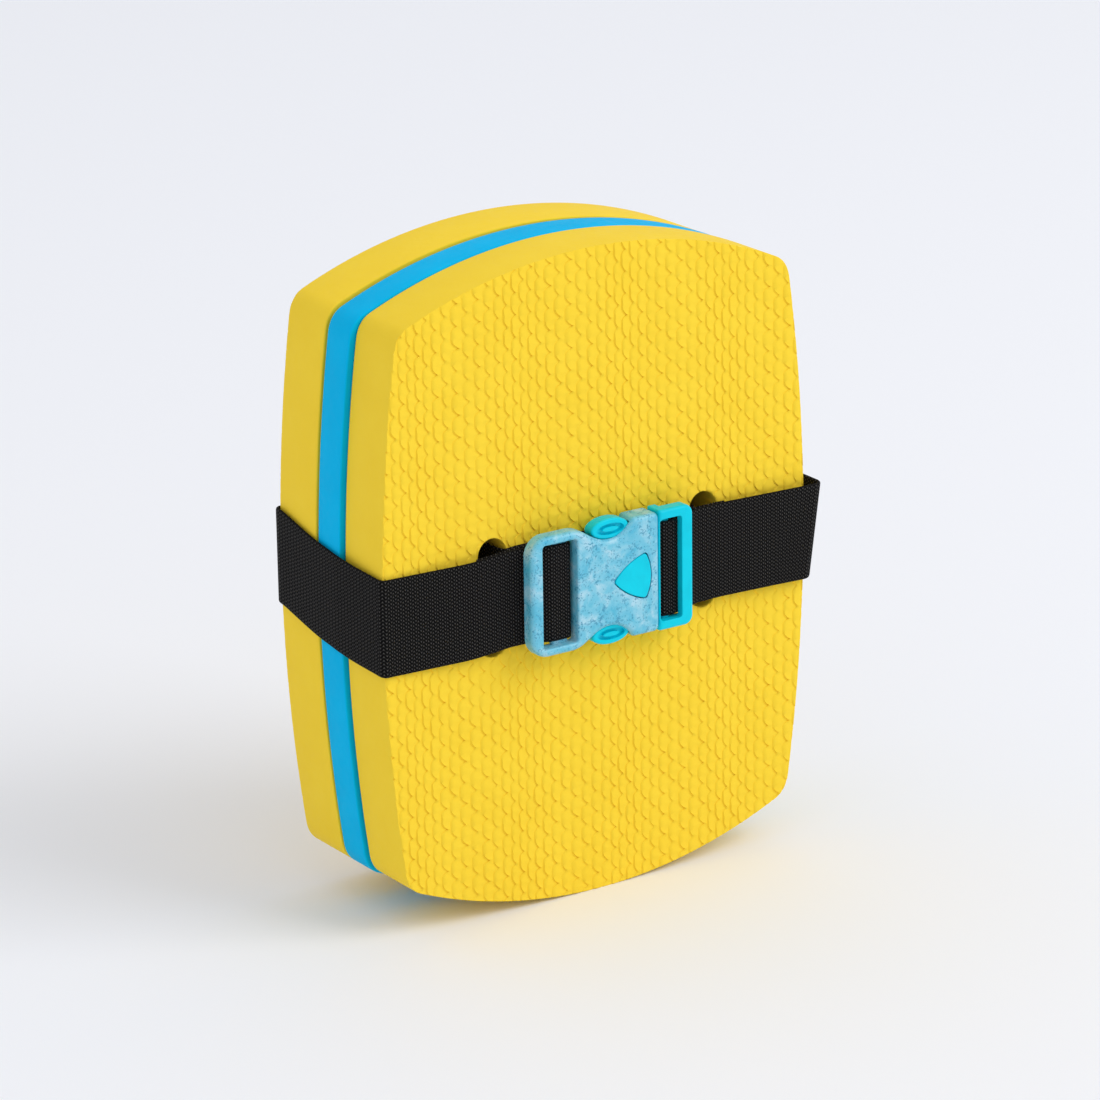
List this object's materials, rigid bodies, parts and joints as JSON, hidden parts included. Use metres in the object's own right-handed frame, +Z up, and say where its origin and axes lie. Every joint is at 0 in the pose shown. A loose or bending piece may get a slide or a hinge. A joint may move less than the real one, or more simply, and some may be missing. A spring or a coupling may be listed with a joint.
{
  "type": "kickboard float",
  "caption": "Barrel-shaped layered foam swimming float with an embossed scale face, wrapped by a black webbing belt that closes with a child-safe side-release buckle.",
  "frame": {"origin": "bottom centre of the bounding box, on the floor under the middle of the curved lower edge", "axes": "+Z up the long side of the boards, -Y out of the embossed front, +X to the right seen from the front"},
  "size_m": [0.212, 0.0872, 0.27],
  "materials": {
    "yellow_foam": "matt closed-cell foam, die cut, fish scales embossed on the outer faces",
    "blue_foam": "matt closed-cell foam, die cut",
    "webbing": "ribbed woven polypropylene webbing",
    "marbled_plastic": "satin acetal, pale blue with white veils and darker blue flecks",
    "turquoise_plastic": "satin acetal"
  },
  "bodies": {
    "float": {"front_board": "yellow_foam", "middle_board": "blue_foam", "back_board": "yellow_foam", "webbing_centre_band": "webbing", "webbing_left_wrap": "webbing", "webbing_right_wrap": "webbing", "webbing_right_run": "webbing", "socket_housing": "marbled_plastic"},
    "plug": {"plug_frame": "turquoise_plastic", "webbing_right_loop": "webbing"},
    "upper_arm": {"latch_arm_upper": "turquoise_plastic"},
    "lower_arm": {"latch_arm_lower": "turquoise_plastic"},
    "button": {"release_button": "turquoise_plastic"}
  },
  "joints": [
    {"name": "unclip", "type": "slide", "parent": "float", "child": "plug", "axis": [1, 0, 0], "range_m": [0, 0.026], "deforming": ["webbing_right_run", "latch_arm_upper", "latch_arm_lower", "release_button"]},
    {"name": "squeeze_upper", "type": "hinge", "parent": "plug", "child": "upper_arm", "pos_m": [0.0156, -0.03852, 0.1542], "axis": [0, -1, 0], "range_deg": [0, 12], "stiffness_Nm_per_rad": 1},
    {"name": "squeeze_lower", "type": "hinge", "parent": "plug", "child": "lower_arm", "pos_m": [0.0156, -0.03852, 0.1158], "axis": [0, 1, 0], "range_deg": [0, 12], "stiffness_Nm_per_rad": 1},
    {"name": "press_button", "type": "hinge", "parent": "plug", "child": "button", "pos_m": [-0.0102, -0.04047, 0.135], "axis": [0, 0, 1], "range_deg": [0, 5], "stiffness_Nm_per_rad": 2}
  ]
}
